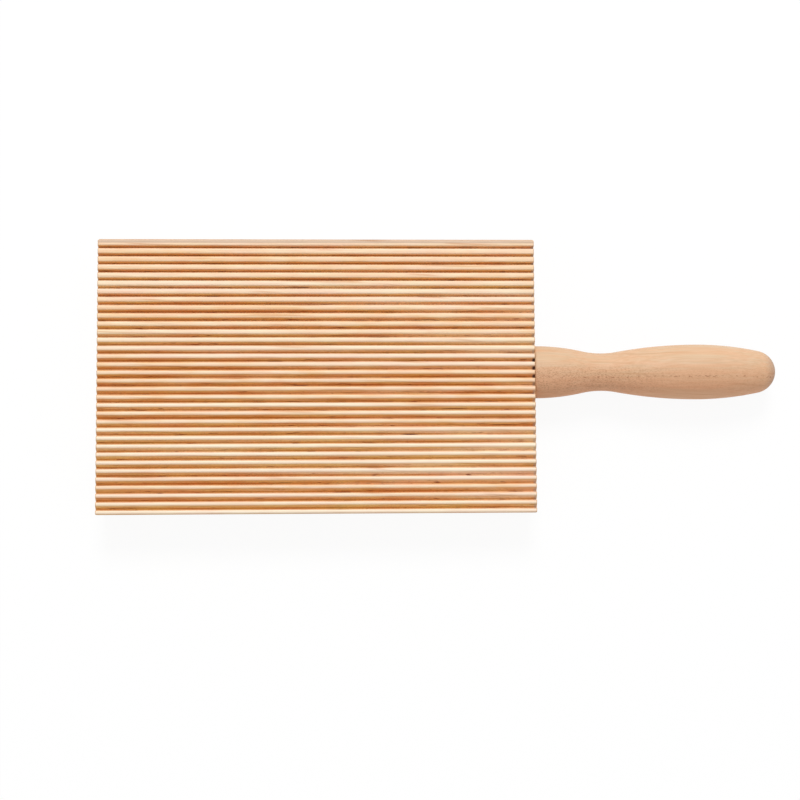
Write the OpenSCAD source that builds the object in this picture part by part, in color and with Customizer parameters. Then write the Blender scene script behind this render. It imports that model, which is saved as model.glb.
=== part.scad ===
// Gnocchi board: a plank with rounded ridges along its top, and a turned handle whose
// own tenon is glued into a blind hole in the end of the plank.
// The origin is the middle of the plank's flat underside. +X points to the handle,
// +Y lies across the ridges and +Z points up, out of the ridged face.

/* [Board] */
// Length of the plank, from end to end
board_length = 135; // [110:1:180]
// Width of the plank, across the ridges
board_width = 85; // [60:1:120]
// Thickness of the plank, from its underside to the ridge crests
board_thickness = 16; // [15:0.5:24]
// Size of the bevel that eases the plank's outer edges
board_ease = 0.4; // [0.2:0.1:0.8]

/* [Ridges] */
// Distance from one ridge crest to the next
ridge_pitch = 2.51; // [2.4:0.01:4]
// Distance of the middle groove from the plank's middle line
ridge_shift = 0.26; // [0:0.01:1]
// Depth of the grooves below the crests
groove_depth = 1.3; // [1:0.05:1.8]
// Width of the flat floor of a groove
groove_floor = 0.3; // [0.2:0.05:0.6]
// Radius of the rounded crest of a ridge
crest_radius = 0.7; // [0.5:0.05:0.8]

/* [Handle] */
// Length of the handle that shows, from the plank's end to the tip
handle_length = 77; // [70:1:110]
// Diameter of the collar, where the handle meets the plank
collar_diameter = 16.4; // [14:0.2:20]
// Diameter of the narrow neck
neck_diameter = 11.8; // [10.5:0.1:13]
// Diameter of the thickest place of the grip
grip_diameter = 17.3; // [16:0.1:20]
// Distance of the collar's thickest place from the plank's end
collar_at = 1; // [1:0.1:3]
// Distance of the narrowest place of the neck from the plank's end
neck_at = 21.6; // [18:0.2:26]
// Distance of the thickest place of the grip from the plank's end
grip_at = 52; // [44:0.5:56]
// Radius of the hollow curve through the neck
neck_curve = 27; // [20:1:34]
// Radius of the long curve from the grip's thickest place to the tip
grip_curve = 95; // [80:1:140]
// Size of the bevel round the end of the collar
collar_ease = 0.7; // [0.3:0.1:1]
// Distance of the handle's axis from the plank's middle line
handle_offset = 1.5; // [0:0.1:4]
// Height that the grip keeps above a table on which the plank lies
table_gap = 0.1; // [0.1:0.05:1]

/* [Joint] */
// Diameter of the tenon on the end of the handle
tenon_diameter = 8; // [6:0.5:9]
// Length of the tenon inside the plank
tenon_length = 22; // [14:1:30]
// Bevel round the tip of the tenon
tenon_bevel = 0.8; // [0.4:0.1:1.2]
// Gap all round the tenon that the glue fills
glue_gap = 0.05; // [0.05:0.01:0.2]
// Room past the tip of the tenon for air and spare glue
hole_spare = 1.5; // [1:0.5:4]
// Bevel at the mouth of the hole
hole_bevel = 0.4; // [0.2:0.1:0.8]

/* [Hidden] */

// Steps round a full turn in the preview
fine = 96;
// Steps in which each curve of the handle's outline is drawn
curve_steps = 14;
// Room by which a cutting shape passes the face that it cuts
past = 1;
// Depth by which the upper end of a flank is sunk into the round crest
tuck = 0.02;

// A ridge seen from its end. Its flanks rise from the groove's floor and touch the
// circle of the crest, lean degrees above the level of the circle's middle.
crest_z = board_thickness - crest_radius;
floor_z = board_thickness - groove_depth;
foot_y = (ridge_pitch - groove_floor) / 2;
lean = acos(crest_radius / norm([foot_y, crest_z - floor_z]))
    - atan2(crest_z - floor_z, foot_y);
flank_top = (crest_radius - tuck) * [cos(lean), sin(lean)];
ridges_each_side = ceil((board_width / 2 + ridge_shift) / ridge_pitch);

// The handle's outline is a chain of five arcs that run into each other smoothly: the
// collar's, the neck's, two that meet at the thickest place of the grip, and the tip's.
collar_r = collar_diameter / 2;
neck_r = neck_diameter / 2;
grip_r = grip_diameter / 2;
function both_radii(run, rise) = (run * run + rise * rise) / (2 * rise);
collar_sum = both_radii(neck_at - collar_at, collar_r - neck_r);
grip_sum = both_radii(grip_at - neck_at, grip_r - neck_r);
collar_curve = collar_sum - neck_curve;
front_curve = grip_sum - neck_curve;
neck_from = neck_at - (neck_at - collar_at) * neck_curve / collar_sum;
neck_to = neck_at + (grip_at - neck_at) * neck_curve / grip_sum;
tip_run = handle_length - grip_at;
tip_curve = (grip_curve ^ 2 - tip_run ^ 2 - (grip_curve - grip_r) ^ 2)
    / (2 * (grip_curve - tip_run));
tip_from = grip_at + (tip_run - tip_curve) * grip_curve / (grip_curve - tip_curve);
tip_angle = acos((tip_from - handle_length + tip_curve) / tip_curve);

// Radius of the handle beside the place z on an arc that bulges out, or is hollow
function bulge(z, at, radius, curve) = radius - curve + sqrt(curve ^ 2 - (z - at) ^ 2);
function hollow(z, at, radius, curve) = radius + curve - sqrt(curve ^ 2 - (z - at) ^ 2);
// The places at which a curve from one place to another is drawn, without the last
function places(from, to) = [
    for (step = [0 : curve_steps - 1]) from + (to - from) * step / curve_steps
];

// The axis runs at half the plank's thickness, or just high enough for the grip to
// clear the table.
handle_height = max(board_thickness / 2, grip_r + table_gap);

tenon_r = tenon_diameter / 2;
hole_r = tenon_r + glue_gap;
hole_depth = tenon_length + hole_spare;
drill_point = hole_r / 2;

// Turns what is drawn along +Z to +X, with its origin at the handle's joint
module at_joint() {
    translate([board_length / 2, handle_offset, handle_height])
        rotate([0, 90, 0])
            children();
}

// A ridge seen from its end, down to below the groove's floor
module ridge_section() {
    translate([0, crest_z])
        circle(crest_radius, $fn = fine);
    polygon([
        [-foot_y, floor_z - past],
        [foot_y, floor_z - past],
        [foot_y, floor_z],
        [flank_top.x, crest_z + flank_top.y],
        [-flank_top.x, crest_z + flank_top.y],
        [-foot_y, floor_z]
    ]);
}

// The plank's cross-section, with ridges that run past both long edges
module ridged_section() {
    translate([-board_width / 2 - ridge_pitch, 0])
        square([board_width + 2 * ridge_pitch, floor_z]);
    for (place = [-ridges_each_side : ridges_each_side])
        translate([(place + 0.5) * ridge_pitch - ridge_shift, 0])
            ridge_section();
}

// A rectangle on its lower edge, with its corners bevelled
module eased_rectangle(width, height) {
    polygon([
        [-width / 2 + board_ease, 0],
        [width / 2 - board_ease, 0],
        [width / 2, board_ease],
        [width / 2, height - board_ease],
        [width / 2 - board_ease, height],
        [-width / 2 + board_ease, height],
        [-width / 2, height - board_ease],
        [-width / 2, board_ease]
    ]);
}

// The plank before its ridges are cut, with its twelve edges bevelled
module eased_blank() {
    intersection() {
        rotate([90, 0, 90])
            linear_extrude(board_length, center = true)
                eased_rectangle(board_width, board_thickness);
        rotate([90, 0, 0])
            linear_extrude(board_width, center = true)
                eased_rectangle(board_length, board_thickness);
        linear_extrude(board_thickness)
            translate([0, -board_width / 2])
                eased_rectangle(board_length, board_width);
    }
}

// The blind hole, with the pointed end that a drill leaves and a bevelled mouth
module tenon_hole() {
    rotate_extrude($fn = fine)
        polygon([
            [0, -hole_depth - drill_point],
            [hole_r, -hole_depth],
            [hole_r, -hole_bevel],
            [hole_r + hole_bevel + past, past],
            [0, past]
        ]);
}

module ridged_board() {
    color([0.87, 0.67, 0.49])
        difference() {
            intersection() {
                rotate([90, 0, 90])
                    linear_extrude(board_length + 2 * past, center = true)
                        ridged_section();
                eased_blank();
            }
            at_joint() tenon_hole();
        }
}

// Half of the handle's outline, from the tenon's end to the tip
module handle_section() {
    polygon(concat(
        [
            [0, -tenon_length],
            [tenon_r - tenon_bevel, -tenon_length],
            [tenon_r, tenon_bevel - tenon_length],
            [tenon_r, 0],
            [bulge(collar_ease, collar_at, collar_r, collar_curve) - collar_ease, 0]
        ],
        [for (z = places(collar_ease, neck_from))
            [bulge(z, collar_at, collar_r, collar_curve), z]],
        [for (z = places(neck_from, neck_to)) [hollow(z, neck_at, neck_r, neck_curve), z]],
        [for (z = places(neck_to, grip_at)) [bulge(z, grip_at, grip_r, front_curve), z]],
        [for (z = places(grip_at, tip_from)) [bulge(z, grip_at, grip_r, grip_curve), z]],
        [for (turn = places(tip_angle, 0))
            [tip_curve * sin(turn), handle_length - tip_curve + tip_curve * cos(turn)]],
        [[0, handle_length]]
    ));
}

module handle() {
    color([0.87, 0.72, 0.57])
        at_joint()
            rotate_extrude($fn = fine)
                handle_section();
}

ridged_board();
handle();
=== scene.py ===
# %% [markdown]
# # A gnocchi board
#
# A gnocchi board is a small wooden paddle. A lump of dough is rolled down its ridges,
# which press sauce-catching lines into it. The real one is two pieces of wood: a flat
# plank with ridges along its top, and a turned handle that is glued into its end.
#
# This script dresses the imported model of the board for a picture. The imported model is
# the frame: it says where each piece is and how large. We model each piece again with
# finer curves, give it a wood, and set up soft studio light.

import math

import bmesh
import bpy
from mathutils import Matrix, Vector


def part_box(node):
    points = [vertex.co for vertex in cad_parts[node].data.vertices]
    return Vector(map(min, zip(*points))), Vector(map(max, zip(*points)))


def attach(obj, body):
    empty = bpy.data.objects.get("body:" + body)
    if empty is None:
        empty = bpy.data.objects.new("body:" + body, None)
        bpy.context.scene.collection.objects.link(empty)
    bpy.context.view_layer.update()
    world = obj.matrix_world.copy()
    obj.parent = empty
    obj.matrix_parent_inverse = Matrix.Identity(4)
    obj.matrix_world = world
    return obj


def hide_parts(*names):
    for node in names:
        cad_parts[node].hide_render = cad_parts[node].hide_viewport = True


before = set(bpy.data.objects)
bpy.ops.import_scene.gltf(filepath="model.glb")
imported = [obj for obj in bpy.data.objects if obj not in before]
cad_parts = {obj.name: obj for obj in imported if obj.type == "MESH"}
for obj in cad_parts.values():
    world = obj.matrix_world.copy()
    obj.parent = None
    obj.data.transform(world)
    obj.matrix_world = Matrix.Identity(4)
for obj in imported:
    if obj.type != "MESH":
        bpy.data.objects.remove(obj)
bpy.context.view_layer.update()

# %% [markdown]
# ## Sizes
#
# Blender works in metres, and a small wooden thing is easier to think about in
# millimetres, so lengths are written as a number times MM. What the frame can tell us
# is read from it. The rest are the maker's own sizes: how far apart the ridges are, how
# deep they are cut, and the round shapes of the handle.

# %% Sizes of the plank
MM = 0.001

plank_low, plank_high = [Vector(corner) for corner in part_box("ridged_board")]
PLANK_LENGTH = plank_high.x - plank_low.x
PLANK_WIDTH = plank_high.y - plank_low.y
CREST_HEIGHT = plank_high.z
EDGE_EASE = 0.4 * MM

RIDGE_PITCH = 2.51 * MM
RIDGE_SHIFT = 0.26 * MM
GROOVE_DEPTH = 1.3 * MM
GROOVE_HEIGHT = CREST_HEIGHT - GROOVE_DEPTH
plank_sizes = (PLANK_LENGTH, PLANK_WIDTH, CREST_HEIGHT)
print("plank (mm)", [round(size / MM, 2) for size in plank_sizes])

# %% [markdown]
# ## Small helpers for modelling
#
# Blender's operators work on whatever is selected. After loading, the frame's own
# pieces are selected, so we clear the selection before adding anything. In edit mode we
# then pick vertices, edges or faces by a rule about where they are or which way they
# face, as a hand would with a box select.

# %% Selecting by place
def clear_selection():
    """Leaves edit mode and deselects every object."""
    if bpy.context.object and bpy.context.object.mode != "OBJECT":
        bpy.ops.object.mode_set(mode="OBJECT")
    bpy.ops.object.select_all(action="DESELECT")


def start_editing(piece, kind="VERT"):
    """Makes the piece the only one selected, and opens it in edit mode."""
    clear_selection()
    piece.select_set(True)
    bpy.context.view_layer.objects.active = piece
    bpy.ops.object.mode_set(mode="EDIT")
    bpy.ops.mesh.select_mode(type=kind)


def pick(piece, kind, rule):
    """Selects the verts, edges or faces for which the rule is true, and counts them."""
    bpy.ops.mesh.select_mode(type=kind)
    bpy.ops.mesh.select_all(action="DESELECT")
    mesh = bmesh.from_edit_mesh(piece.data)
    items = {"VERT": mesh.verts, "EDGE": mesh.edges, "FACE": mesh.faces}[kind]
    chosen = [item for item in items if rule(item)]
    for item in chosen:
        item.select_set(True)
    mesh.select_flush_mode()
    bmesh.update_edit_mesh(piece.data)
    return len(chosen)


def middle(item):
    """The middle of an edge or a face."""
    return sum((v.co for v in item.verts), Vector()) / len(item.verts)


def near(a, b):
    """Whether two lengths agree within a thousandth of a millimetre."""
    return abs(a - b) < 0.001 * MM


def count(piece):
    """Prints a piece's size in triangles and millimetres."""
    piece.data.calc_loop_triangles()
    size = [round(side / MM, 2) for side in piece.dimensions]
    print(piece.name, "triangles", len(piece.data.loop_triangles), "size (mm)", size)


# %% [markdown]
# ## Cutting the ridges
#
# The maker saws a blank and cuts the ridges along it. We do the same with a cube that is
# a little too long. Its top face is cut with a bisect along every groove and along both
# shoulders of every crest. Pushing the groove lines down then makes a row of ridges with
# flat tops. Modelling one ridge and copying it would also work, but then the copies would
# have to be stitched together, and this way the plank is one closed skin from the start.
#
# Two things make the real plank look hand-made. The pattern isn't quite centred: the
# cutter ran a little to one side, so the last ridge on that side is cut off just past its
# crest. And the crests on the far side are broad and flat, while those on the near side
# are narrow and lean away, with a long flank towards us and a steep one behind.

# %% Where crests and grooves lie
SPARE = 2 * MM
SHARP_CREST = CREST_HEIGHT + SPARE
SHARP_DEPTH = 1.4 * MM
NEAR_HALF, FAR_HALF = 0.36 * MM, 0.7 * MM
NEAR_LEAN = 0.6 * MM


def groove_place(number):
    """Place of a groove. On the near side it lies off the middle between its crests."""
    y = number * RIDGE_PITCH - RIDGE_SHIFT
    return y - NEAR_LEAN * (0.5 - y / PLANK_WIDTH)


def crest_place(number):
    """Place of a crest, in even steps all over the plank."""
    return (number + 0.5) * RIDGE_PITCH - RIDGE_SHIFT


def crest_half(y):
    """Half the width of a crest's flat top, which grows from the near to the far side."""
    share = 0.5 + y / PLANK_WIDTH
    return NEAR_HALF + (FAR_HALF - NEAR_HALF) * share ** 2


each_side = math.ceil((PLANK_WIDTH / 2 + RIDGE_SHIFT) / RIDGE_PITCH)
grooves = [groove_place(number) for number in range(-each_side, each_side + 1)]
crests = [crest_place(number) for number in range(-each_side, each_side)]
print("crests", len(crests), "grooves", len(grooves))

# %% The bar
bar_width = grooves[-1] - grooves[0]
bar_middle = (grooves[-1] + grooves[0]) / 2
clear_selection()
bpy.ops.mesh.primitive_cube_add(
    size=1,
    location=(0, bar_middle, (SHARP_CREST - SPARE) / 2),
    scale=(PLANK_LENGTH + 2 * SPARE, bar_width, SHARP_CREST + SPARE))
plank = bpy.context.object
plank.name = "plank"
bpy.ops.object.transform_apply(location=True, rotation=True, scale=True)

start_editing(plank, "FACE")
shoulders = [crest + side * crest_half(crest) for crest in crests for side in (-1, 1)]
for y in sorted(grooves[1:-1] + shoulders):
    pick(plank, "FACE", lambda face: face.normal.z > 0.9)
    bpy.ops.mesh.bisect(plane_co=(0, y, 0), plane_no=(0, 1, 0))


def on_groove_line(vertex):
    return vertex.co.z > CREST_HEIGHT and any(near(vertex.co.y, y) for y in grooves)


pushed = pick(plank, "VERT", on_groove_line)
bpy.ops.transform.translate(value=(0, 0, -SHARP_DEPTH))
bpy.ops.object.mode_set(mode="OBJECT")
print("vertices pushed down", pushed)

# %% [markdown]
# ## Rounding the ridges
#
# One bevel rounds the shoulders of the crests, and a second one rounds the grooves.
# Bevels change the heights a little, so instead of working that out we stretch the ridged
# top afterwards, until crest and groove are at the heights that they have on the real
# plank.

# %% Round the crests and the grooves
CREST_ROUNDING = 0.32 * MM
GROOVE_ROUNDING = 0.4 * MM

SHARP_GROOVE = SHARP_CREST - SHARP_DEPTH


def shoulder_edge(edge):
    along = near(edge.verts[0].co.y, edge.verts[1].co.y)
    return along and all(near(v.co.z, SHARP_CREST) for v in edge.verts)


def inner_groove_edge(edge):
    inner = abs(middle(edge).y - bar_middle) < bar_width / 2 - RIDGE_PITCH / 2
    return inner and all(near(v.co.z, SHARP_GROOVE) for v in edge.verts)


start_editing(plank, "EDGE")
crest_edges = pick(plank, "EDGE", shoulder_edge)
bpy.ops.mesh.bevel(offset=CREST_ROUNDING, segments=5, profile=0.5, affect="EDGES")
groove_edges = pick(plank, "EDGE", inner_groove_edge)
bpy.ops.mesh.bevel(offset=GROOVE_ROUNDING, segments=4, profile=0.5, affect="EDGES")
bpy.ops.object.mode_set(mode="OBJECT")
print("edges rounded", crest_edges, "at the crests and", groove_edges, "in the grooves")

# %% Stretch the ridges to their height
inner_heights = [
    v.co.z for v in plank.data.vertices
    if v.co.z > 0 and abs(v.co.y - bar_middle) < bar_width / 2 - RIDGE_PITCH]
crest_now, groove_now = max(inner_heights), min(inner_heights)
stretch = (CREST_HEIGHT - GROOVE_HEIGHT) / (crest_now - groove_now)

start_editing(plank, "VERT")
pick(plank, "VERT", lambda v: v.co.z > 0)
bpy.ops.transform.resize(value=(1, 1, stretch), center_override=(0, 0, crest_now))
bpy.ops.transform.translate(value=(0, 0, CREST_HEIGHT - crest_now))
bpy.ops.object.mode_set(mode="OBJECT")
print("stretched by", round(stretch, 3), "crest was at (mm)", round(crest_now / MM, 2))

# %% [markdown]
# ## A hand-made surface
#
# Planed wood is never perfectly even. The bar is cut into short slices along its
# length, which gives the ridges enough points to wander, and a Displace modifier with a
# soft cloud pattern moves them by a few hundredths of a millimetre. That is too little
# to see as a bump, but it breaks up the light along the crests.

# %% Slice and displace
SLICE = 3 * MM
WAVER = 0.09 * MM
CLOUD_SIZE = 7 * MM

start_editing(plank, "FACE")
slices = round(PLANK_LENGTH / SLICE)
for number in range(-slices // 2 + 1, slices // 2 + 1):
    bpy.ops.mesh.select_all(action="SELECT")
    bpy.ops.mesh.bisect(plane_co=((number - 0.5) * SLICE, 0, 0), plane_no=(1, 0, 0))
bpy.ops.object.mode_set(mode="OBJECT")

top_points = plank.vertex_groups.new(name="top")
top_points.add([v.index for v in plank.data.vertices if v.co.z > 0], 1.0, "REPLACE")
clouds = bpy.data.textures.new("slow waver", "CLOUDS")
clouds.noise_scale = CLOUD_SIZE
waver = plank.modifiers.new("waver", "DISPLACE")
waver.texture = clouds
waver.texture_coords = "LOCAL"
waver.direction = "NORMAL"
waver.strength = WAVER
waver.mid_level = 0.5
waver.vertex_group = "top"
bpy.ops.object.modifier_apply(modifier="waver")
count(plank)

# %% [markdown]
# ## Trimming the plank to its blank
#
# On the real plank the corners and edges are eased with sandpaper. Bevelling them on the
# ridged bar would fail where a ridge runs into an edge, because the bevels would
# overlap. A second cube with all its edges bevelled is simple, and a Boolean keeps only
# what lies inside both. The blank is a tenth of a millimetre higher than the crests, so
# its flat top leaves them as they are, and only its eased edges cut them.

# %% Trim with an eased blank
BLANK_HEIGHT = CREST_HEIGHT + EDGE_EASE / 4

clear_selection()
bpy.ops.mesh.primitive_cube_add(
    size=1,
    location=(0, 0, BLANK_HEIGHT / 2),
    scale=(PLANK_LENGTH, PLANK_WIDTH, BLANK_HEIGHT))
blank = bpy.context.object
bpy.ops.object.transform_apply(location=True, rotation=True, scale=True)
start_editing(blank, "EDGE")
bpy.ops.mesh.select_all(action="SELECT")
bpy.ops.mesh.bevel(offset=EDGE_EASE, segments=3, profile=0.5, affect="EDGES")
clear_selection()


def combine(piece, tool, operation):
    """Applies a Boolean with the tool to the piece, and deletes the tool."""
    clear_selection()
    piece.select_set(True)
    bpy.context.view_layer.objects.active = piece
    modifier = piece.modifiers.new("combine", "BOOLEAN")
    modifier.object = tool
    modifier.operation = operation
    modifier.solver = "EXACT"
    bpy.ops.object.modifier_apply(modifier="combine")
    bpy.data.objects.remove(tool)


combine(plank, blank, "INTERSECT")
count(plank)

# %% [markdown]
# ## The hole for the handle
#
# The handle's end is a round tenon in a blind hole. Nobody sees it once it is glued,
# but a part that is taken apart on a bench has one. A drill is turned as a lathe would
# turn it, ring by ring, and cut out of the plank. The handle is turned the same way.

# %% Drill the hole
handle_low, handle_high = [Vector(corner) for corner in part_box("handle")]
JOINT = Vector((
    plank_high.x,
    (handle_low.y + handle_high.y) / 2,
    (handle_low.z + handle_high.z) / 2))
TENON_RADIUS = 4 * MM
TENON_LENGTH = plank_high.x - handle_low.x
HANDLE_LENGTH = handle_high.x - plank_high.x
GRIP_RADIUS = (handle_high.z - handle_low.z) / 2
GLUE_GAP = 0.05 * MM
HOLE_RADIUS = TENON_RADIUS + GLUE_GAP
HOLE_SPARE = 1.5 * MM
HOLE_DEPTH = TENON_LENGTH + HOLE_SPARE
HOLE_BEVEL = 0.4 * MM
DRILL_POINT = 2 * MM
DRILL_TIP_RADIUS = 0.05 * MM
DRILL_STEPS = 64
SMOOTH_BELOW = math.radians(35)


def turn_on_lathe(name, outline, steps):
    """A round piece along X through the joint, ring by ring, from (x, radius) pairs."""
    start_x, start_radius = outline[0]
    clear_selection()
    bpy.ops.mesh.primitive_circle_add(
        vertices=steps,
        radius=start_radius,
        fill_type="NGON",
        location=JOINT + Vector((start_x, 0, 0)),
        rotation=(0, -math.pi / 2, 0))
    piece = bpy.context.object
    piece.name = name
    bpy.ops.object.transform_apply(location=True, rotation=True, scale=True)
    start_editing(piece, "FACE")
    bpy.ops.mesh.select_all(action="SELECT")
    before_x, before_radius = start_x, start_radius
    for x, radius in outline[1:]:
        bpy.ops.mesh.extrude_region_move(
            TRANSFORM_OT_translate={"value": (x - before_x, 0, 0)})
        size = radius / before_radius
        bpy.ops.transform.resize(
            value=(1, size, size), center_override=JOINT + Vector((x, 0, 0)))
        before_x, before_radius = x, radius
    return piece


drill = turn_on_lathe("drill", [
    (SPARE, HOLE_RADIUS + HOLE_BEVEL + SPARE),
    (-HOLE_BEVEL, HOLE_RADIUS),
    (-HOLE_DEPTH, HOLE_RADIUS),
    (-HOLE_DEPTH - DRILL_POINT, DRILL_TIP_RADIUS)], DRILL_STEPS)
bpy.ops.mesh.select_all(action="SELECT")
bpy.ops.mesh.normals_make_consistent(inside=False)
clear_selection()
combine(plank, drill, "DIFFERENCE")

clear_selection()
plank.select_set(True)
bpy.context.view_layer.objects.active = plank
bpy.ops.object.shade_smooth_by_angle(angle=SMOOTH_BELOW)
count(plank)

# %% [markdown]
# ## The outline of the handle
#
# A turner works along the wood with a gouge, and the shape is a row of smooth curves:
# a bulging collar, a hollow neck, a grip that swells slowly and falls away slowly, and a
# round tip. Arcs that share a tangent where they meet give exactly that. An arc is known
# by the place and radius of its thickest or thinnest point and by its own curve.

# %% Arcs of the outline
COLLAR_AT, COLLAR_RADIUS = 1.0 * MM, 8.2 * MM
NECK_AT, NECK_RADIUS, NECK_CURVE = 21.6 * MM, 5.9 * MM, 27 * MM
GRIP_AT, GRIP_CURVE = 52 * MM, 95 * MM
COLLAR_EASE = 0.7 * MM


def both_radii(run, rise):
    """Sum of the radii of two arcs that meet smoothly between two level points."""
    return (run * run + rise * rise) / (2 * rise)


collar_sum = both_radii(NECK_AT - COLLAR_AT, COLLAR_RADIUS - NECK_RADIUS)
grip_sum = both_radii(GRIP_AT - NECK_AT, GRIP_RADIUS - NECK_RADIUS)
collar_curve = collar_sum - NECK_CURVE
front_curve = grip_sum - NECK_CURVE
neck_from = NECK_AT - (NECK_AT - COLLAR_AT) * NECK_CURVE / collar_sum
neck_to = NECK_AT + (GRIP_AT - NECK_AT) * NECK_CURVE / grip_sum

tip_run = HANDLE_LENGTH - GRIP_AT
tip_curve = (GRIP_CURVE ** 2 - tip_run ** 2 - (GRIP_CURVE - GRIP_RADIUS) ** 2) / (
    2 * (GRIP_CURVE - tip_run))
tip_from = GRIP_AT + (tip_run - tip_curve) * GRIP_CURVE / (GRIP_CURVE - tip_curve)
tip_angle = math.acos((tip_from - HANDLE_LENGTH + tip_curve) / tip_curve)
found_curves = (collar_curve, front_curve, tip_curve)
print("collar, front and tip curves (mm)", [round(curve / MM, 1) for curve in found_curves])

# %% Rings of the handle
TENON_BEVEL = 0.8 * MM
TIP_RINGS = 16


def bulge(x, at, radius, curve):
    """Radius of the handle at x on an arc that swells to the radius at one place."""
    return radius - curve + math.sqrt(curve ** 2 - (x - at) ** 2)


def hollow(x, at, radius, curve):
    """Radius of the handle at x on an arc that narrows to the radius at one place."""
    return radius + curve - math.sqrt(curve ** 2 - (x - at) ** 2)


def places(start, end, steps):
    """Evenly spaced values from start to end, without the end itself."""
    return [start + (end - start) * step / steps for step in range(steps)]


outline = [
    (-TENON_LENGTH, TENON_RADIUS - TENON_BEVEL),
    (TENON_BEVEL - TENON_LENGTH, TENON_RADIUS),
    (0, TENON_RADIUS)]
edge_radius = bulge(COLLAR_EASE, COLLAR_AT, COLLAR_RADIUS, collar_curve)
outline += [(0, edge_radius - COLLAR_EASE)]
for turn in (30, 60):
    sine, cosine = math.sin(math.radians(turn)), math.cos(math.radians(turn))
    outline += [(COLLAR_EASE * (1 - cosine), edge_radius - COLLAR_EASE * (1 - sine))]
# Each arc has a shape, its place, radius and curve, its two ends and its number of rings
for shape, at, radius, curve, start, end, rings in (
        (bulge, COLLAR_AT, COLLAR_RADIUS, collar_curve, COLLAR_EASE, neck_from, 14),
        (hollow, NECK_AT, NECK_RADIUS, NECK_CURVE, neck_from, neck_to, 16),
        (bulge, GRIP_AT, GRIP_RADIUS, front_curve, neck_to, GRIP_AT, 20),
        (bulge, GRIP_AT, GRIP_RADIUS, GRIP_CURVE, GRIP_AT, tip_from, 16)):
    outline += [(x, shape(x, at, radius, curve)) for x in places(start, end, rings)]
tip_middle = HANDLE_LENGTH - tip_curve
outline += [(tip_middle + tip_curve * math.cos(turn), tip_curve * math.sin(turn))
            for turn in places(tip_angle, 0, TIP_RINGS)]
print("rings", len(outline))

# %% Turn the handle
HANDLE_STEPS = 96

handle = turn_on_lathe("turned_handle", outline, HANDLE_STEPS)
bpy.ops.mesh.extrude_region_move(TRANSFORM_OT_translate={
    "value": (HANDLE_LENGTH - outline[-1][0], 0, 0)})
bpy.ops.mesh.merge(type="CENTER")
bpy.ops.mesh.select_all(action="SELECT")
bpy.ops.mesh.normals_make_consistent(inside=False)
bpy.ops.object.mode_set(mode="OBJECT")
bpy.ops.object.shade_smooth_by_angle(angle=SMOOTH_BELOW)
count(handle)

# %% [markdown]
# ## Building materials
#
# A material is a network of nodes. Writing each node out by hand takes many lines, so a
# small helper adds one node, sets its inputs, and links what is given as another node's
# output. A group of nodes that several materials share is built once, with named
# inputs and outputs, and placed in each of them with its own values.

# %% Helpers for nodes
def add_node(tree, kind, inputs=None, **settings):
    """Adds a node; an input given as an output of another node is linked to it."""
    node = tree.nodes.new(kind)
    for name, value in settings.items():
        setattr(node, name, value)
    for name, value in (inputs or {}).items():
        if isinstance(value, bpy.types.NodeSocket):
            tree.links.new(value, node.inputs[name])
        else:
            node.inputs[name].default_value = value
    return node


def math_node(tree, operation, first, second=0.0, clamp=False):
    node = add_node(tree, "ShaderNodeMath", {0: first, 1: second},
                    operation=operation, use_clamp=clamp)
    return node.outputs[0]


def plus(tree, first, *others):
    """Adds values, with one Math node after another."""
    for value in others:
        first = math_node(tree, "ADD", first, value)
    return first


def times(tree, first, *others):
    """Multiplies values, with one Math node after another."""
    for value in others:
        first = math_node(tree, "MULTIPLY", first, value)
    return first


def minus(tree, first, second):
    return math_node(tree, "SUBTRACT", first, second)


def divided(tree, first, second):
    return math_node(tree, "DIVIDE", first, second)


def between(tree, low, high, share):
    """Goes from low to high while the share goes from 0 to 1."""
    return plus(tree, low, times(tree, share, high - low))


def fade(tree, value, start, end):
    """0 up to start and 1 from end on, smoothly. Start may be the larger of the two."""
    node = add_node(tree, "ShaderNodeMapRange", {
        "Value": value, "From Min": start, "From Max": end, "To Min": 0.0, "To Max": 1.0},
        interpolation_type="SMOOTHSTEP")
    return node.outputs["Result"]


def object_axes(tree):
    """X, Y and Z of a point in the object's own space."""
    place = add_node(tree, "ShaderNodeTexCoord").outputs["Object"]
    return add_node(tree, "ShaderNodeSeparateXYZ", {0: place}).outputs


# %% Helpers for colours
def linear(red, green, blue):
    """A colour as a picture gives it, 0 to 255, as the light values that Blender uses."""
    def one(value):
        value /= 255
        return value / 12.92 if value <= 0.04045 else ((value + 0.055) / 1.055) ** 2.4
    return (one(red), one(green), one(blue), 1.0)


def mix_colours(tree, amount, first, second, blend="MIX"):
    """Mixes two colours. In a Mix node they are inputs 6 and 7, and output 2."""
    node = add_node(tree, "ShaderNodeMix", {0: amount, 6: first, 7: second},
                    data_type="RGBA", blend_type=blend)
    return node.outputs[2]


def shaded(tree, colour, tint):
    """The colour with a tint multiplied into it."""
    return mix_colours(tree, 1.0, colour, tint, "MULTIPLY")


def ramp(tree, value, stops):
    """A colour ramp with (place, colour) stops."""
    node = add_node(tree, "ShaderNodeValToRGB", {"Fac": value})
    elements = node.color_ramp.elements
    elements[0].position, elements[0].color = stops[0]
    elements[1].position, elements[1].color = stops[-1]
    for place, colour in stops[1:-1]:
        elements.new(place).color = colour
    return node.outputs["Color"]


# %% Helpers for groups and materials
def new_group(name, inputs, output):
    """A node group with number inputs (name: default) and one number as its output."""
    tree = bpy.data.node_groups.new(name, "ShaderNodeTree")
    for label, default in inputs.items():
        socket = tree.interface.new_socket(
            label, in_out="INPUT", socket_type="NodeSocketFloat")
        socket.default_value = default
    tree.interface.new_socket(output, in_out="OUTPUT", socket_type="NodeSocketFloat")
    group_in = tree.nodes.new("NodeGroupInput")
    group_out = tree.nodes.new("NodeGroupOutput")
    return tree, group_in.outputs, group_out.inputs


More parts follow.
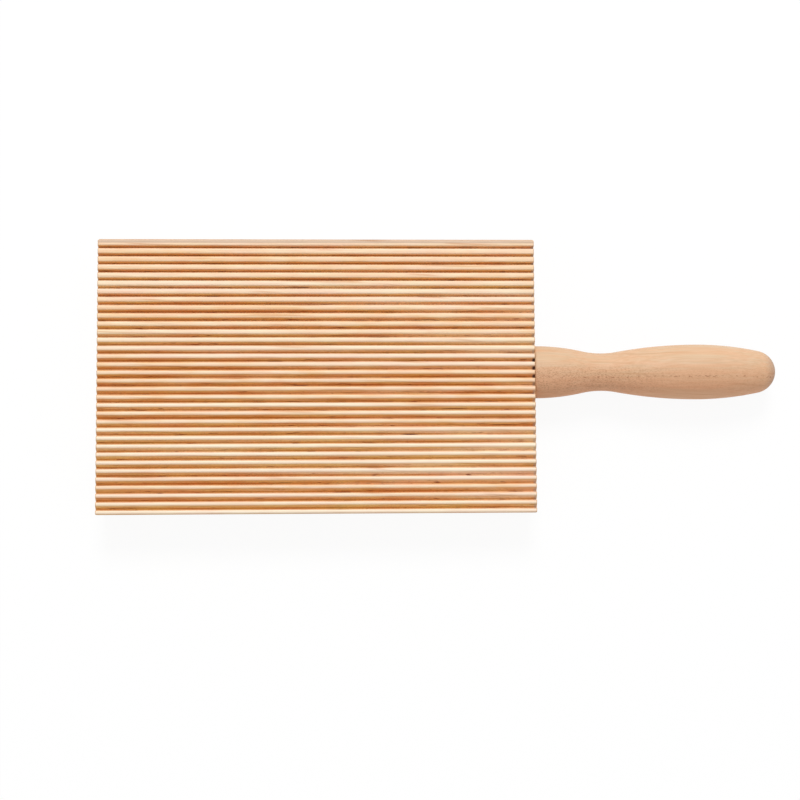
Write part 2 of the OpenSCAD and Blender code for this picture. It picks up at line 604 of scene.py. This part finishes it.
def place_group(tree, group, **values):
    """Places a group with its own values, and gives its output."""
    return add_node(tree, "ShaderNodeGroup", values, node_tree=group).outputs[0]


def new_material(name):
    """A new material and its node tree."""
    material = bpy.data.materials.new(name)
    material.use_nodes = True
    return material, material.node_tree


# %% [markdown]
# ## Streaks, flecks and growth lines
#
# Wood is a bundle of long fibres. Along the grain its colour hardly changes, and across
# the grain it changes within a fraction of a millimetre. A Noise texture whose space is
# squeezed in one direction gives that. The first group below puts out such streaks,
# with a length and a width in millimetres. The second keeps only the strongest spots
# of a streaky noise: the short dark dashes that pores and rays leave on a cut surface.
# The third draws the thin darker line at the end of each year's growth. The lines cross
# the piece at a slant, may climb through its thickness, bend a little, and fade in and
# out.

# %% Group of long streaks
def streaky_noise(tree, length, width, seed, detail):
    """Noise in the object's own space, stretched to a length and width in millimetres."""
    place = add_node(tree, "ShaderNodeTexCoord").outputs["Object"]
    along = divided(tree, 1 / MM, length)
    across = divided(tree, 1 / MM, width)
    scale = add_node(tree, "ShaderNodeCombineXYZ", {"X": along, "Y": across, "Z": across})
    squeezed = add_node(tree, "ShaderNodeVectorMath", {
        0: place, 1: scale.outputs[0]}, operation="MULTIPLY")
    shift = add_node(tree, "ShaderNodeCombineXYZ", {"X": seed, "Y": seed, "Z": 0.0})
    moved = add_node(tree, "ShaderNodeVectorMath", {
        0: squeezed.outputs[0], 1: shift.outputs[0]}, operation="ADD")
    noise = add_node(tree, "ShaderNodeTexNoise", {
        "Vector": moved.outputs[0], "Scale": 1.0, "Detail": detail, "Roughness": 0.55})
    return noise.outputs["Fac"]


streaks, given, result = new_group(
    "streaks", {"Length": 40.0, "Width": 1.0, "Seed": 0.0}, "Streak")
noise = streaky_noise(
    streaks, given["Length"], given["Width"], given["Seed"], detail=3.0)
streaks.links.new(fade(streaks, noise, 0.34, 0.66), result["Streak"])
print(streaks.name, "nodes", len(streaks.nodes))

# %% Group of short flecks
FLECK_EDGE = 14.0

flecks, given, result = new_group(
    "flecks", {"Length": 3.0, "Width": 0.3, "Seed": 0.0, "Rarity": 0.65}, "Fleck")
noise = streaky_noise(
    flecks, given["Length"], given["Width"], given["Seed"], detail=1.0)
above = minus(flecks, noise, given["Rarity"])
fleck = math_node(flecks, "MULTIPLY", above, FLECK_EDGE, clamp=True)
flecks.links.new(fleck, result["Fleck"])
print(flecks.name, "nodes", len(flecks.nodes))

# %% Group of growth lines
BEND_LENGTH, BEND_WIDTH = 60.0, 12.0
PATCH_LENGTH, PATCH_WIDTH = 22.0, 4.0

tree, given, result = new_group(
    "growth lines",
    {"Spacing": 4.0, "Thickness": 0.3, "Slant": 0.02, "Rise": 0.0, "Bend": 2.0, "Seed": 0.0},
    "Line")
growth_lines = tree
axes = object_axes(tree)
bend = streaky_noise(tree, BEND_LENGTH, BEND_WIDTH, given["Seed"], detail=2.0)
bend = times(tree, minus(tree, bend, 0.5), given["Bend"])
slanted = plus(
    tree, axes["Y"],
    times(tree, axes["X"], given["Slant"]),
    times(tree, axes["Z"], given["Rise"]))
across = plus(tree, divided(tree, slanted, MM), bend)
year = math_node(tree, "FRACT", divided(tree, across, given["Spacing"]))
from_line = math_node(tree, "ABSOLUTE", minus(tree, year, 0.5))
from_line = times(tree, from_line, given["Spacing"])
line = fade(tree, divided(tree, from_line, given["Thickness"]), 1.0, 0.3)
patches = streaky_noise(tree, PATCH_LENGTH, PATCH_WIDTH, given["Seed"], detail=1.0)
tree.links.new(times(tree, line, fade(tree, patches, 0.45, 0.65)), result["Line"])
print(growth_lines.name, "nodes", len(growth_lines.nodes))

# %% [markdown]
# ## The plank's wood
#
# The plank is cut from a tree whose growth rings cross it at a shallow angle. So the
# colour changes slowly across the ridges, from cream through pink to a yellow orange,
# and each band of it drifts over a ridge or two from end to end. A colour ramp over the
# place across the plank holds the bands, and a slow noise bends them.
#
# The grooves are painted deeper in colour than the crests: a brown multiplied in by
# height is painted shade, for the shade and the bounced light between their walls. It
# is strongest on the flanks that are turned from the lamp, towards the camera, and
# towards the free end. Here and there it is redder, and short dark dashes lie in it. The
# crests are painted paler, a painted highlight, most of all on the near half. Strips
# along the near and the far top edge are painted greyer, as painted shade. At the
# handle's end the ends of the grooves are painted greyer, and beside the handle a few of
# them are painted dark brown: painted shadow where the handle's collar stands over them.
# The long sides below the ridges are an even tan.

# %% Colours of the plank
CREAM = linear(253, 238, 211)
PINK = linear(251, 226, 205)
TAN = linear(250, 219, 183)
GOLD = linear(243, 200, 146)
DEEP_GOLD = linear(238, 189, 128)
NEAR_RIM_SHADE = linear(228, 216, 199)
FAR_RIM_SHADE = linear(206, 180, 157)
SIDE_TAN = linear(222, 184, 143)
PALE_CREAM = linear(253, 240, 212)
ROSE = linear(249, 208, 190)
FLANK_SHADE_OCHRE = linear(236, 206, 145)
FLANK_SHADE_RED = linear(232, 188, 138)
GROOVE_SHADE_BROWN = linear(222, 199, 168)
DASH_BROWN = linear(104, 36, 8)
DASH_RED = linear(128, 46, 12)
CREST_HIGHLIGHT = linear(254, 245, 232)
COLLAR_SHADOW_BROWN = linear(62, 22, 6)
GROOVE_END_SHADE_GREY = linear(158, 152, 150)

# Two tints that are multiplied into a colour, as light values
FIBRE_SHADE = (0.84, 0.76, 0.68, 1.0)
GROWTH_SHADE = (0.72, 0.52, 0.36, 1.0)

# Places across the plank in millimetres, from the side nearest the camera
BANDS = [
    (-42.5, CREAM), (-41.0, CREAM), (-38.8, TAN), (-36.8, PINK), (-35.0, DEEP_GOLD),
    (-33.2, GOLD), (-31.0, PINK), (-26.5, CREAM), (-19.0, CREAM), (-16.5, TAN),
    (-14.2, DEEP_GOLD), (-11.6, TAN), (-9.2, CREAM), (-7.0, GOLD), (-3.0, DEEP_GOLD),
    (-0.5, GOLD), (2.5, GOLD), (6.0, PINK), (11.0, CREAM), (14.0, TAN), (18.5, GOLD),
    (22.0, TAN), (25.5, PINK), (28.8, CREAM), (31.0, TAN), (33.5, TAN), (36.0, GOLD),
    (38.5, TAN), (42.5, TAN)]
print("bands of colour", len(BANDS))

# %% Bands across the plank
BAND_DRIFT = 0.028
BAND_WANDER = 2.4 * MM

board_wood, tree = new_material("ridged_plank_wood")
axes = object_axes(tree)
slow = place_group(tree, streaks, Length=90.0, Width=9.0, Seed=3.0)
bend = times(tree, minus(tree, slow, 0.5), BAND_WANDER)
far_share = fade(tree, axes["Y"], -PLANK_WIDTH / 2, PLANK_WIDTH / 4)
drift = times(tree, axes["X"], BAND_DRIFT, far_share)
across = plus(tree, axes["Y"], drift, bend, PLANK_WIDTH / 2)
across = divided(tree, across, PLANK_WIDTH)
first_place = BANDS[0][0]
colour = ramp(tree, across, [
    ((place - first_place) * MM / PLANK_WIDTH, tint) for place, tint in BANDS])
print(board_wood.name, "nodes", len(tree.nodes))

# %% [markdown]
# Most of what follows lies at some distance from an edge of the plank, or at some depth
# below the crests of its ridges. So these distances are worked out once.

# %% Streaks of the plank
depth = minus(tree, CREST_HEIGHT, axes["Z"])
from_near_side = minus(tree, axes["Y"], plank_low.y)
from_far_side = minus(tree, plank_high.y, axes["Y"])
from_free_end = minus(tree, axes["X"], plank_low.x)
from_handle_end = minus(tree, plank_high.x, axes["X"])


def layer(tree, colour, tint, amount, length, width, seed):
    """Mixes a tint over the colour where a streak of this length and width is strong."""
    streak = place_group(tree, streaks, Length=length, Width=width, Seed=seed)
    return mix_colours(tree, times(tree, streak, amount), colour, tint)


# Painted shade: a greyer strip along the top of the near side
near_rim_shade = times(
    tree,
    fade(tree, from_near_side, 0.6 * MM, 0.2 * MM),
    fade(tree, depth, 2 * MM, 1 * MM))
colour = mix_colours(tree, near_rim_shade, colour, NEAR_RIM_SHADE)
colour = layer(tree, colour, GOLD, amount=0.3, length=60.0, width=1.3, seed=27.0)
colour = layer(tree, colour, PALE_CREAM, amount=0.45, length=9.0, width=1.8, seed=33.0)
colour = layer(tree, colour, ROSE, amount=0.38, length=12.0, width=1.5, seed=47.0)
# Painted shade: a darker, greyer strip on the outer flank of the far edge
far_rim_shade = times(
    tree,
    fade(tree, from_far_side, 1.5 * MM, 1.1 * MM),
    fade(tree, from_far_side, 0.02 * MM, 0.25 * MM))
colour = mix_colours(tree, far_rim_shade, colour, FAR_RIM_SHADE)
from_side = math_node(tree, "MINIMUM", from_near_side, from_far_side)
on_sides = times(
    tree,
    fade(tree, depth, 0.4 * MM, 1.6 * MM),
    fade(tree, from_side, 0.3 * MM, 0.05 * MM))
colour = mix_colours(tree, times(tree, on_sides, 0.65), colour, SIDE_TAN)
print(board_wood.name, "nodes", len(tree.nodes))

# %% Fibres and growth lines of the plank
darker = shaded(tree, colour, FIBRE_SHADE)
fibres = place_group(tree, streaks, Length=10.0, Width=0.32, Seed=5.0)
colour = mix_colours(tree, times(tree, fibres, 0.4), colour, darker)
browner = shaded(tree, colour, GROWTH_SHADE)
lines = place_group(
    tree, growth_lines,
    Spacing=3.4, Thickness=0.34, Slant=0.03, Rise=0.425, Bend=4.0, Seed=6.0)
colour = mix_colours(tree, times(tree, lines, 0.6), colour, browner)
print(board_wood.name, "nodes", len(tree.nodes))

# %% Where the grooves and their flanks are, and how much shade is painted on them
on_top = fade(tree, depth, GROOVE_DEPTH + 0.4 * MM, GROOVE_DEPTH + 0.1 * MM)
not_far_edge = fade(tree, axes["Y"], crests[-2] + 0.9 * MM, crests[-2] + 0.3 * MM)
ridged = times(tree, on_top, not_far_edge)

# Painted shade is strongest on the flank that rises from each groove towards the far side,
# which is turned from the lamp
lean = times(tree, from_far_side, NEAR_LEAN / PLANK_WIDTH)
past_groove = plus(tree, axes["Y"], RIDGE_SHIFT, lean)
phase = math_node(tree, "FRACT", divided(tree, past_groove, RIDGE_PITCH))
turned_from_lamp = between(tree, 0.3, 1.0, fade(tree, phase, 0.72, 0.5))
flank_shade_amount = between(tree, 0.2, 1.0, fade(tree, depth, 0.04 * MM, 0.5 * MM))
flank_shade_amount = times(tree, flank_shade_amount, turned_from_lamp, ridged)
groove_shade_amount = fade(tree, depth, GROOVE_DEPTH - 0.55 * MM, GROOVE_DEPTH - 0.1 * MM)
groove_shade_amount = times(tree, groove_shade_amount, ridged)
print(board_wood.name, "nodes", len(tree.nodes))

# %% Painted shade in the grooves
uneven = place_group(tree, streaks, Length=85.0, Width=2.2, Seed=83.0)
uneven = between(tree, 0.46, 1.14, uneven)
to_free_end = fade(tree, from_handle_end, 0.0, PLANK_LENGTH)
uneven = plus(tree, uneven, times(tree, to_free_end, 0.35))
redness = place_group(tree, streaks, Length=18.0, Width=2.6, Seed=71.0)
flank_shade_tint = mix_colours(tree, redness, FLANK_SHADE_OCHRE, FLANK_SHADE_RED)
flank_shade_colour = shaded(tree, colour, flank_shade_tint)
# The flanks and bottoms of the grooves get painted shade: a brown multiplied in, uneven
# along them
colour = mix_colours(tree, times(tree, flank_shade_amount, uneven), colour, flank_shade_colour)
groove_shade_colour = shaded(tree, colour, GROOVE_SHADE_BROWN)
colour = mix_colours(tree, times(tree, groove_shade_amount, uneven), colour, groove_shade_colour)
print(board_wood.name, "nodes", len(tree.nodes))

# %% Dashes in the grooves
deep = times(tree, fade(tree, depth, 0.25 * MM, 0.85 * MM), ridged)
for tint, amount, length, width, seed, rarity in (
        (DASH_RED, 0.28, 1.3, 0.32, 101.0, 0.6),
        (DASH_BROWN, 1.0, 12.0, 0.42, 8.0, 0.67),
        (DASH_RED, 1.0, 5.0, 0.38, 91.0, 0.67)):
    dashes = place_group(
        tree, flecks, Length=length, Width=width, Seed=seed, Rarity=rarity)
    colour = mix_colours(tree, times(tree, dashes, deep, amount), colour, tint)
print(board_wood.name, "nodes", len(tree.nodes))

# %% Painted highlight on the crests, and painted shade at the grooves' ends
# Painted highlight: the tops of the crests are mixed towards a pale cream, most on the near
# half
near_half = fade(tree, axes["Y"], 0.45 * plank_high.y, -0.1 * plank_high.y)
highlight_share = between(tree, 0.05, 0.25, near_half)
on_crest = fade(tree, depth, 0.22 * MM, 0.05 * MM)
colour = mix_colours(tree, times(tree, on_crest, ridged, highlight_share), colour, CREST_HIGHLIGHT)

# Painted shade: at the handle's end the ends of the grooves are mixed towards grey
groove_end_shade = times(
    tree, ridged,
    fade(tree, depth, 0.1 * MM, 0.5 * MM),
    fade(tree, from_handle_end, 1.2 * MM, 0.4 * MM))
colour = mix_colours(tree, times(tree, groove_end_shade, 0.45), colour, GROOVE_END_SHADE_GREY)

# Painted shadow: beside the handle's collar the ends of a few grooves are darkened to a deep
# brown
collar_shadow = times(
    tree, deep,
    fade(tree, from_handle_end, 1.1 * MM, 0.5 * MM),
    fade(tree, axes["Y"], JOINT.y - 6 * MM, JOINT.y - 1 * MM),
    fade(tree, axes["Y"], JOINT.y + 5.5 * MM, JOINT.y + 4.5 * MM))
print(board_wood.name, "nodes", len(tree.nodes))

# %% [markdown]
# ### End grain
#
# The plank's two ends are cut across the fibres. They show the years' growth as shallow
# arcs, each of which darkens slowly and ends sharply. They are rings round the heart of
# the tree, which lay some way below the plank, so the distance from that line gives them.
# Fine pores lie all over them.

# %% End grain of the plank
END_GRAIN = linear(226, 186, 142)
END_LINE = linear(184, 130, 86)
HEART_OF_TREE = (0.0, 16 * MM, -62 * MM)
RING_SPACING = 2.3 * MM
RING_WANDER = 1.2 * MM

on_end = add_node(tree, "ShaderNodeCombineXYZ", {"Y": axes["Y"], "Z": axes["Z"]})
from_heart = add_node(tree, "ShaderNodeVectorMath", {
    0: on_end.outputs[0], 1: HEART_OF_TREE}, operation="DISTANCE").outputs["Value"]
wander = place_group(tree, streaks, Length=60.0, Width=14.0, Seed=19.0)
from_heart = plus(tree, from_heart, times(tree, wander, RING_WANDER))
year = math_node(tree, "FRACT", divided(tree, from_heart, RING_SPACING))
late_wood = times(tree, fade(tree, year, 0.3, 0.9), fade(tree, year, 1.0, 0.94))
pores = place_group(tree, flecks, Length=3.0, Width=0.2, Seed=23.0, Rarity=0.55)
end_marks = plus(tree, times(tree, late_wood, 0.36), times(tree, pores, 0.35))
end_colour = mix_colours(tree, end_marks, END_GRAIN, END_LINE)
from_end = math_node(tree, "MINIMUM", from_free_end, from_handle_end)
on_ends = fade(tree, from_end, 0.35 * MM, 0.1 * MM)
colour = mix_colours(tree, on_ends, colour, end_colour)
# The painted shadow beside the handle's collar goes on over the end grain
colour = mix_colours(tree, times(tree, collar_shadow, 0.9), colour, COLLAR_SHADOW_BROWN)
print(board_wood.name, "nodes", len(tree.nodes))

# %% Finish of the plank
FIBRE_ROUGHNESS = 0.12
FIBRE_BUMP = 0.25
WOOD_SHINE = 0.3


def finish_wood(piece, material, colour, fibres, roughness, bump_height):
    """Links a wood's colour, lets its fibres roughen the surface, and puts it on."""
    tree = material.node_tree
    shader = tree.nodes["Principled BSDF"]
    rough = between(tree, roughness, roughness + FIBRE_ROUGHNESS, fibres)
    bump = add_node(tree, "ShaderNodeBump", {
        "Strength": FIBRE_BUMP, "Distance": bump_height, "Height": fibres})
    tree.links.new(colour, shader.inputs["Base Color"])
    tree.links.new(rough, shader.inputs["Roughness"])
    tree.links.new(bump.outputs[0], shader.inputs["Normal"])
    shader.inputs["Specular IOR Level"].default_value = WOOD_SHINE
    piece.data.materials.clear()
    piece.data.materials.append(material)
    print(piece.name, "has", material.name, "with nodes", len(tree.nodes))


finish_wood(plank, board_wood, colour, fibres, roughness=0.55, bump_height=0.06 * MM)

# %% [markdown]
# ## The handle's wood
#
# The handle is turned from another, paler wood, much like beech: an even tan with long
# soft streaks. Its colour is painted from a greyer tan on the far side to rose on the
# near side: painted light and shade that tempers the lamp's shading. On the side that
# faces the camera the cut runs through the rays of the wood. There its surface is finely
# speckled, densest near the plank, and a broken row of short dark dashes runs along it.
# At the tip the wood is darker and greyer: partly end grain, where the lathe cut across
# the fibres, and partly painted shade.

# %% Colours of the handle
HANDLE_LIT_SIDE_PALE = linear(213, 184, 152)
HANDLE_TAN = linear(216, 180, 143)
HANDLE_ROSE = linear(227, 171, 132)
FLECK_BROWN = linear(150, 90, 55)
TIP_SHADE = (0.76, 0.76, 0.8, 1.0)

handle_wood, tree = new_material("turned_handle_wood")
axes = object_axes(tree)
along = minus(tree, axes["X"], JOINT.x)
aside = minus(tree, axes["Y"], JOINT.y)
above = minus(tree, axes["Z"], JOINT.z)

# Painted light and shade: greyer pale tan on the far side, which faces the lamp, going to
# rose on the near side
to_shaded_side = fade(tree, aside, 5 * MM, -7 * MM)
colour = mix_colours(tree, to_shaded_side, HANDLE_LIT_SIDE_PALE, HANDLE_ROSE)
colour = layer(tree, colour, HANDLE_TAN, amount=0.5, length=70.0, width=3.0, seed=41.0)
colour = layer(tree, colour, HANDLE_ROSE, amount=0.4, length=40.0, width=1.2, seed=52.0)
darker = shaded(tree, colour, FIBRE_SHADE)
fibres = place_group(tree, streaks, Length=14.0, Width=0.35, Seed=63.0)
colour = mix_colours(tree, times(tree, fibres, 0.45), colour, darker)
lines = place_group(
    tree, growth_lines, Spacing=3.3, Thickness=0.3, Slant=0.01, Bend=5.0, Seed=14.0)
colour = mix_colours(tree, times(tree, lines, 0.7), colour, darker)
print(handle_wood.name, "nodes", len(tree.nodes))

# %% Specks of the handle
ROW_ASIDE = -2.1 * MM

belt = times(
    tree,
    fade(tree, aside, 3 * MM, -1 * MM),
    fade(tree, aside, -8 * MM, -5 * MM))
near_plank = fade(tree, along, 48 * MM, 18 * MM)
specks = place_group(tree, flecks, Length=0.6, Width=0.28, Seed=70.0, Rarity=0.53)
specks = times(tree, specks, belt, between(tree, 0.14, 0.38, near_plank))
colour = mix_colours(tree, specks, colour, FLECK_BROWN)

from_row = math_node(tree, "ABSOLUTE", minus(tree, aside, ROW_ASIDE))
row = times(
    tree,
    fade(tree, from_row, 0.45 * MM, 0.15 * MM),
    fade(tree, above, 3 * MM, 5 * MM))
dashes = place_group(tree, flecks, Length=1.0, Width=0.5, Seed=77.0, Rarity=0.55)
colour = mix_colours(tree, times(tree, dashes, row, 0.6), colour, FLECK_BROWN)
print(handle_wood.name, "nodes", len(tree.nodes))

# %% Tip and finish of the handle
# The tip is darker and greyer: end grain, and painted shade
at_tip = fade(tree, along, HANDLE_LENGTH - 5 * MM, HANDLE_LENGTH - 0.5 * MM)
colour = mix_colours(tree, at_tip, colour, shaded(tree, colour, TIP_SHADE))
finish_wood(handle, handle_wood, colour, fibres, roughness=0.5, bump_height=0.05 * MM)

# %% [markdown]
# ## Telling the frame about the new pieces
#
# Each new piece takes the place of a node of the imported model, which is hidden, and
# rides on the only body there is, since nothing on a gnocchi board moves.

# %% Pieces and the nodes that they replace
for piece, node, slot in (
        (plank, "ridged_board", "board_wood"),
        (handle, "handle", "handle_wood")):
    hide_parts(node)
    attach(piece, "root")
    print(piece.name, "replaces", node)

# %% [markdown]
# ## Floor and light
#
# The board lies on a plain white table. The table is seen almost pure white by the
# camera, through an emission that only camera rays see, and it keeps a share of its
# real shading so that the board still casts a soft shadow. One large soft lamp stands
# on the far side of the board, and an even white world fills the rest.

# %% Floor
FLOOR_SIZE = 6
FLOOR_HEIGHT = -0.2 * MM
PURE_WHITE_SHARE = 0.92
WHITE = (1.0, 1.0, 1.0, 1.0)

clear_selection()
bpy.ops.mesh.primitive_plane_add(size=FLOOR_SIZE, location=(0, 0, FLOOR_HEIGHT))
floor = bpy.context.object
floor.name = "table_top"
floor_finish, tree = new_material("white_table")
shader = tree.nodes["Principled BSDF"]
shader.inputs["Base Color"].default_value = (0.97, 0.97, 0.97, 1)
shader.inputs["Roughness"].default_value = 0.9
shader.inputs["Specular IOR Level"].default_value = 0.1
rays = add_node(tree, "ShaderNodeLightPath").outputs
seen = math_node(tree, "MAXIMUM", rays["Is Camera Ray"], math_node(
    tree, "MAXIMUM", rays["Is Glossy Ray"], rays["Is Transmission Ray"]))
white = add_node(tree, "ShaderNodeEmission", {"Color": WHITE, "Strength": 1.0})
mixed = add_node(tree, "ShaderNodeMixShader", {
    0: times(tree, seen, PURE_WHITE_SHARE), 1: shader.outputs[0], 2: white.outputs[0]})
tree.links.new(mixed.outputs[0], tree.nodes["Material Output"].inputs["Surface"])
floor.data.materials.append(floor_finish)
print("floor", FLOOR_SIZE, "m wide")

# %% Light
WORLD_LIGHT = 0.6
KEY_PLACE = Vector((0.0, 1.24, 1.48))
KEY_AIM = Vector((0.02, 0, 0))
KEY_SIZE = 0.7
KEY_WATTS = 23.0

world = bpy.data.worlds.new("soft studio")
bpy.context.scene.world = world
world.use_nodes = True
tree = world.node_tree
tree.nodes.clear()
rays = add_node(tree, "ShaderNodeLightPath").outputs
seen = math_node(tree, "MAXIMUM", rays["Is Camera Ray"], rays["Is Transmission Ray"])
around = add_node(tree, "ShaderNodeBackground", {"Color": WHITE, "Strength": WORLD_LIGHT})
behind = add_node(tree, "ShaderNodeBackground", {"Color": WHITE, "Strength": 1.0})
both = add_node(tree, "ShaderNodeMixShader", {
    0: seen, 1: around.outputs[0], 2: behind.outputs[0]})
add_node(tree, "ShaderNodeOutputWorld", {"Surface": both.outputs[0]})

bpy.ops.object.light_add(type="AREA", location=KEY_PLACE)
key = bpy.context.object
key.name = "key_lamp"
key.data.shape = "DISK"
key.data.size = KEY_SIZE
key.data.energy = KEY_WATTS
key.rotation_euler = (KEY_AIM - KEY_PLACE).to_track_quat("-Z", "Y").to_euler()
print("key lamp", key.data.energy, "W")

# %% [markdown]
# ## Camera
#
# The photograph looks almost straight down, from a little on the near side, and the
# board lies across the picture with its handle to the right.

# %% Camera
CAMERA_PLACE = Vector((0.0068, -0.0425, 0.4634))
CAMERA_AIM = Vector((0.0255, -0.0076, 0.0147))
CAMERA_ROLL = math.radians(0.34)
SENSOR_WIDTH, LENS = 36, 65.6

forward = (CAMERA_AIM - CAMERA_PLACE).normalized()
level = forward.cross(Vector((0, 1, 0))).normalized()
right = Matrix.Rotation(CAMERA_ROLL, 3, forward) @ level
turned = Matrix((right, right.cross(forward), -forward)).transposed()
bpy.ops.object.camera_add(location=CAMERA_PLACE, rotation=turned.to_euler())
camera = bpy.context.object
camera.data.sensor_width = SENSOR_WIDTH
camera.data.lens = LENS
camera.data.clip_start = 10 * MM
bpy.context.scene.camera = camera
bpy.context.scene.view_settings.view_transform = "Standard"
print("camera", round((CAMERA_AIM - CAMERA_PLACE).length / MM), "mm from what it looks at")
